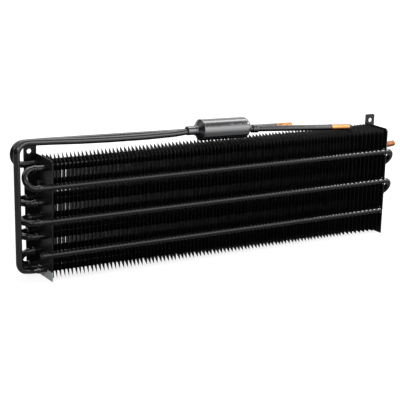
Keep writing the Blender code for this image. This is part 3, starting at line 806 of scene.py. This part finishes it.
def accumulator():
    """A spun vessel that droops a little: inlet sleeve with a bead, steep cone behind a crisp rim, long body,
    round shoulder and short neck."""
    x, z = VESSEL_START
    heading = (math.cos(VESSEL_DROOP), 0.0, -math.sin(VESSEL_DROOP))
    sleeve, body = SLEEVE_RADIUS, VESSEL_RADIUS
    profile = outline(
        ((0.0012, TUBE_RADIUS + 0.0001), 0),
        ((0.0, TUBE_RADIUS + 0.0004), 0.0003),
        ((0.0, sleeve), 0.0003),
        ((0.0132, sleeve), 0.0003),
        ((0.0137, sleeve + 0.0009), 0.0004),
        ((0.0154, sleeve + 0.0009), 0.0004),
        ((0.0160, sleeve), 0.0004),
        ((0.0172, sleeve + 0.0012), 0.0010),
        ((0.0222, body - 0.0006), 0.0008),
        ((0.0228, body + 0.0003), 0.0004),
        ((0.0242, body + 0.0003), 0.0003),
        ((0.0246, body), 0.0003),
        ((0.108, body), 0.0079),
        ((0.108, TUBE_RADIUS + 0.0012), 0.0012),
        ((0.113, TUBE_RADIUS + 0.0008), 0),
    )
    shape = turned(profile, at(x, VESSEL_Y, z), heading, VESSEL_SIDES)
    piece("accumulator_vessel", shape, VESSEL_PAINT, ("accumulator",), 50)


def outlet():
    """The drooping outlet tube with its brazed collar, its bare copper end and the plug in it."""
    x, z = OUTLET_ROOT
    root = at(x, VESSEL_Y, z)
    heading = np.array([math.cos(OUTLET_SLOPE), 0.0, -math.sin(OUTLET_SLOPE)])
    tip = OUTLET_LENGTH
    profile = outline(
        ((-0.0045, TUBE_RADIUS), 0),
        ((0.0006, TUBE_RADIUS), 0.0002),
        ((0.0010, OUTLET_COLLAR_RADIUS), 0.0005),
        ((0.0122, OUTLET_COLLAR_RADIUS), 0.0008),
        ((0.0128, TUBE_RADIUS - 0.0003), 0.0003),
        ((0.0142, TUBE_RADIUS - 0.0003), 0.0003),
        ((0.0146, TUBE_RADIUS), 0.0002),
        ((tip - 0.0032, TUBE_RADIUS), 0.0004),
        ((tip - 0.0030, TUBE_RADIUS + 0.0004), 0.0002),
        ((tip - 0.0004, TUBE_RADIUS + 0.0004), 0.0003),
        ((tip, TUBE_RADIUS), 0.0003),
        ((tip, TUBE_RADIUS - TUBE_WALL), 0),
    )
    shape = turned(profile, root, heading, FINE_SIDES)
    piece("outlet_run", shape, LINE_PAINT, ("outlet_tube",))
    shape = turned(open_end(COPPER_LENGTH, BORE_DEPTH), root + heading * (tip + SEAM), heading, FINE_SIDES)
    piece("outlet_copper", shape, BRIGHT_COPPER, ("outlet_copper_end",))
    neck = TUBE_RADIUS - TUBE_WALL - SEAM
    profile = outline(((-0.006, neck), 0), ((0.0, neck), 0), ((0.0, TUBE_RADIUS - SEAM), 0.0003),
                      ((0.0045, TUBE_RADIUS - 0.0004), 0.0010), ((0.0045, 0.0004), 0))
    mouth = tip + COPPER_LENGTH + 0.0003
    shape = turned(profile, root + heading * mouth, heading, FINE_SIDES)
    piece("outlet_plug_cap", shape, RUBBER, ("outlet_plug",))


def liquid_line():
    """From the rear top tube up and back over the coil at the rear, ending in a bare copper tip."""
    y, z = place(4, 3)
    y -= FRONT
    corner = LIQUID_TURN_RADIUS - 0.0001
    spots, headings = route(
        (at(0.0015, y, z), 0),
        (at(LIQUID_TURN_X, y, z), corner),
        (at(LIQUID_TURN_X, y, z + 2 * LIQUID_TURN_RADIUS), corner),
        (at(0.0200, y, 0.1957), 0.600),
        (at(0.2200, y, 0.1915), 0.600),
        (at(0.4160, y, 0.1869), 0),
    )
    piece("liquid_line_tube", bar(spots, headings, TUBE_RADIUS), TUBE_PAINT, ("liquid_line",))
    root = spots[-1] + headings[-1] * SEAM
    shape = turned(open_end(LIQUID_TIP_LENGTH, LIQUID_BORE_DEPTH), root, headings[-1], FINE_SIDES)
    piece("liquid_copper_tip", shape, BRIGHT_COPPER, ("liquid_copper_end",))


def plates():
    """The end plates keep their folded solids and get the satin paint, which misses the left one's foot."""
    for name, finish in (("left_end_plate", BARE_FOOT_PAINT), ("right_end_plate", PLATE_PAINT)):
        node = frame["nodes"][name]
        node.data.materials.clear()
        node.data.materials.append(finish)


# Stage

def floor():
    """A wide pale floor that keeps a soft shadow near the coil. The camera sees it almost white. Mirrors see
    it bright in front of the coil and to the right, and dark grey elsewhere."""
    half = FLOOR_HALF
    corners = [(-half, -half, 0), (half, -half, 0), (half, half, 0), (-half, half, 0)]
    mesh = bpy.data.meshes.new("floor")
    mesh.from_pydata(corners, [], [(0, 1, 2, 3)])
    made = bpy.data.objects.new("floor", mesh)
    made.location.z = -FLOOR_DROP
    bpy.context.scene.collection.objects.link(made)
    finish = bpy.data.materials.new("pale_floor")
    finish.use_nodes = True
    tree = finish.node_tree
    tree.nodes.clear()
    where = object_place(tree)
    distance = add_node(tree, "ShaderNodeVectorMath", {0: where}, operation="LENGTH").outputs["Value"]
    glow = ramp_node(tree, distance, 0.35, 1.1, 0.86, 1.0)
    near = ramp_node(tree, axis_node(tree, where, "Y"), -1.30, -0.10, 1.0, 0.0)
    to_right = ramp_node(tree, axis_node(tree, where, "X"), -0.10, 0.30)
    patch = math_node(tree, "MULTIPLY", near, to_right)
    mirrored = math_node(tree, "MULTIPLY_ADD", patch, FLOOR_IN_MIRRORS, FLOOR_ELSEWHERE)
    path = add_node(tree, "ShaderNodeLightPath").outputs
    strength = mix_node(tree, path["Is Glossy Ray"], glow, mirrored)
    white = add_node(tree, "ShaderNodeEmission", {"Strength": strength})
    lit = add_node(tree, "ShaderNodeBsdfDiffuse", {"Color": (0.40, 0.40, 0.40, 1)})
    seen = add_node(tree, "ShaderNodeAddShader", {0: white.outputs[0], 1: lit.outputs[0]})
    plain = add_node(tree, "ShaderNodeBsdfDiffuse", {"Color": (0.80, 0.80, 0.80, 1)})
    either = math_node(tree, "MAXIMUM", path["Is Camera Ray"], path["Is Glossy Ray"])
    either = math_node(tree, "MAXIMUM", either, path["Is Transmission Ray"])
    mix = add_node(tree, "ShaderNodeMixShader", {0: either, 1: plain.outputs[0], 2: seen.outputs[0]})
    add_node(tree, "ShaderNodeOutputMaterial", {"Surface": mix.outputs[0]})
    mesh.materials.append(finish)


def world():
    """White to the camera. Mirrors see bands of light that follow the angle round the coil's length, from the
    front horizon over the zenith to the back, and a dim side low at the left. The rest of the light is a soft
    fill."""
    made = bpy.data.worlds.new("studio")
    bpy.context.scene.world = made
    made.use_nodes = True
    tree = made.node_tree
    where = add_node(tree, "ShaderNodeTexCoord").outputs["Generated"]
    x, y, z = (axis_node(tree, where, axis) for axis in "XYZ")
    turn = math_node(tree, "ARCTAN2", z, math_node(tree, "MULTIPLY", y, -1.0))
    turn = math_node(tree, "DIVIDE", turn, math.pi)
    bands = add_node(tree, "ShaderNodeValToRGB", {"Fac": turn})
    ramp = bands.color_ramp
    ramp.interpolation = "EASE"
    for position, value in SKY_BANDS[1:-1]:
        ramp.elements.new(position)
    for element, (position, value) in zip(ramp.elements, SKY_BANDS):
        element.position = position
        element.color = (value, value, value, 1)
    high = ramp_node(tree, z, 0.35, 0.75)
    right = ramp_node(tree, x, -0.45, 0.05)
    open_side = math_node(tree, "MAXIMUM", high, right)
    bright = math_node(tree, "MULTIPLY", bands.outputs["Color"], open_side)
    bright = math_node(tree, "MULTIPLY", bright, SKY_IN_MIRRORS)
    bright = math_node(tree, "MAXIMUM", bright, DIM_SIDE)
    path = add_node(tree, "ShaderNodeLightPath").outputs
    seen = math_node(tree, "MAXIMUM", path["Is Camera Ray"], path["Is Transmission Ray"])
    mirrored = mix_node(tree, path["Is Glossy Ray"], FILL, bright)
    background = tree.nodes["Background"]
    plug(tree, math_node(tree, "MAXIMUM", seen, mirrored), background.inputs["Strength"])
    background.inputs["Color"].default_value = (1, 1, 1, 1)


def softbox(name, spot, target, width, height, power):
    """A soft rectangular lamp at a spot, facing its target."""
    light = bpy.data.lights.new(name, "AREA")
    light.shape = "RECTANGLE"
    light.size = width
    light.size_y = height
    light.energy = power
    made = bpy.data.objects.new(name, light)
    made.location = spot
    made.rotation_euler = (Vector(target) - Vector(spot)).to_track_quat("-Z", "Y").to_euler()
    bpy.context.scene.collection.objects.link(made)


def camera():
    """The view of the photograph: turned right, tilted down and rolled a little."""
    data = bpy.data.cameras.new("view")
    data.lens = CAMERA_LENS
    data.sensor_width = 36.0
    data.clip_end = 100.0
    made = bpy.data.objects.new("view", data)
    turn = Matrix.Rotation(-CAMERA_YAW, 4, "Z") @ Matrix.Rotation(math.pi / 2 - CAMERA_PITCH, 4, "X")
    made.matrix_world = Matrix.Translation(CAMERA_PLACE) @ turn @ Matrix.Rotation(CAMERA_ROLL, 4, "Z")
    bpy.context.scene.collection.objects.link(made)
    bpy.context.scene.camera = made


fins()
collars()
hairpins()
return_bends()
straight_tubes()
suction_line()
accumulator()
outlet()
liquid_line()
plates()
floor()
world()
for lamp in LAMPS:
    softbox(*lamp)
camera()
bpy.context.scene.view_settings.view_transform = "Standard"
